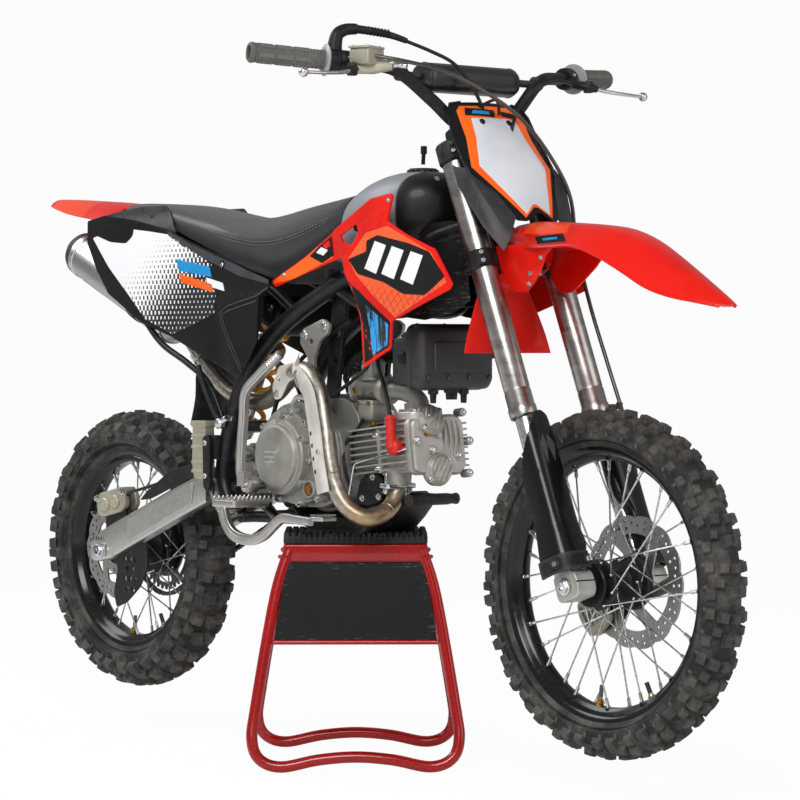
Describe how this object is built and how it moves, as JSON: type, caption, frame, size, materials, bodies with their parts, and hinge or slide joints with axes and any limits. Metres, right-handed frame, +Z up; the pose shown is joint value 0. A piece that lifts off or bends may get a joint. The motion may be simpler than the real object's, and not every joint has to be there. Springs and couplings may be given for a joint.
{
  "type": "dirt bike on a paddock stand",
  "caption": "Small off-road motorcycle with turning fork and spinning wheels, held level with both wheels off the floor by a tubular paddock stand.",
  "frame": {"origin": "on the floor below the middle of the object's box", "axes": "+X forward, +Y to the rider's left, +Z up"},
  "size_m": [1.8731, 0.8254, 1.2649],
  "materials": {
    "frame": "satin black powder coat",
    "subframe": "satin black powder coat",
    "engine_cases": "cast, silver paint",
    "cylinder_head": "cast, silver paint",
    "carburettor": "cast",
    "airbox": "matt black",
    "exhaust_header": "heat-tinted stainless",
    "muffler": "brushed",
    "fuel_tank": "grey moulded plastic",
    "seat": "gripping seat cover over foam",
    "right_shroud": "red and orange",
    "left_shroud": "red and orange",
    "right_side_panel": "white fading to black",
    "left_side_panel": "white fading to black",
    "rear_fender": "orange-red",
    "skid_plate": "satin black",
    "footpegs": "bare steel",
    "foot_levers": "polished",
    "swingarm": "polished",
    "shock": "yellow spring, dark damper",
    "rear_brake": "grey caliper and pump",
    "rear_axle": "zinc plated",
    "chain": "oiled steel",
    "stand_frame": "red enamel",
    "stand_pad": "ribbed black rubber",
    "triple_clamps": "black anodised",
    "fork_tubes": "brushed silver",
    "fork_lowers": "polished",
    "fork_guards": "black",
    "front_fender": "red",
    "number_plate": "black with a pale field",
    "handlebar": "satin black",
    "bar_pad": "black foam pad",
    "grips": "grey rubber",
    "hand_controls": "bare levers, black housings",
    "front_caliper": "grey",
    "front_axle": "zinc plated",
    "brake_hose": "smoked hose",
    "front_tyre": "knobbly rubber",
    "front_rim": "black rim, bright spokes",
    "front_disc": "ground steel",
    "rear_tyre": "knobbly rubber",
    "rear_rim": "black rim, bright spokes",
    "rear_disc": "ground steel",
    "rear_sprocket": "machined"
  },
  "bodies": {
    "chassis": {"frame": "frame", "subframe": "subframe", "engine_cases": "engine_cases", "cylinder_head": "cylinder_head", "carburettor": "carburettor", "airbox": "airbox", "exhaust_header": "exhaust_header", "muffler": "muffler", "fuel_tank": "fuel_tank", "seat": "seat", "right_shroud": "right_shroud", "left_shroud": "left_shroud", "right_side_panel": "right_side_panel", "left_side_panel": "left_side_panel", "rear_fender": "rear_fender", "skid_plate": "skid_plate", "footpegs": "footpegs", "foot_levers": "foot_levers", "swingarm": "swingarm", "shock": "shock", "rear_brake": "rear_brake", "rear_axle": "rear_axle", "chain": "chain", "stand_frame": "stand_frame", "stand_pad": "stand_pad"},
    "front_end": {"triple_clamps": "triple_clamps", "fork_tubes": "fork_tubes", "fork_lowers": "fork_lowers", "fork_guards": "fork_guards", "front_fender": "front_fender", "number_plate": "number_plate", "handlebar": "handlebar", "bar_pad": "bar_pad", "grips": "grips", "hand_controls": "hand_controls", "front_caliper": "front_caliper", "front_axle": "front_axle", "brake_hose": "brake_hose"},
    "front_wheel": {"front_tyre": "front_tyre", "front_rim": "front_rim", "front_disc": "front_disc"},
    "rear_wheel": {"rear_tyre": "rear_tyre", "rear_rim": "rear_rim", "rear_disc": "rear_disc", "rear_sprocket": "rear_sprocket"}
  },
  "joints": [
    {"name": "steering", "type": "hinge", "parent": "chassis", "child": "front_end", "pos_m": [0.403, 0, 0.829], "axis": [-0.3746, 0, 0.9272], "range_deg": [-38, 38]},
    {"name": "front_wheel_spin", "type": "hinge", "parent": "front_end", "child": "front_wheel", "pos_m": [0.64506, 0, 0.35], "axis": [0, 1, 0], "continuous": true},
    {"name": "rear_wheel_spin", "type": "hinge", "parent": "chassis", "child": "rear_wheel", "pos_m": [-0.65, 0, 0.346], "axis": [0, 1, 0], "continuous": true}
  ]
}
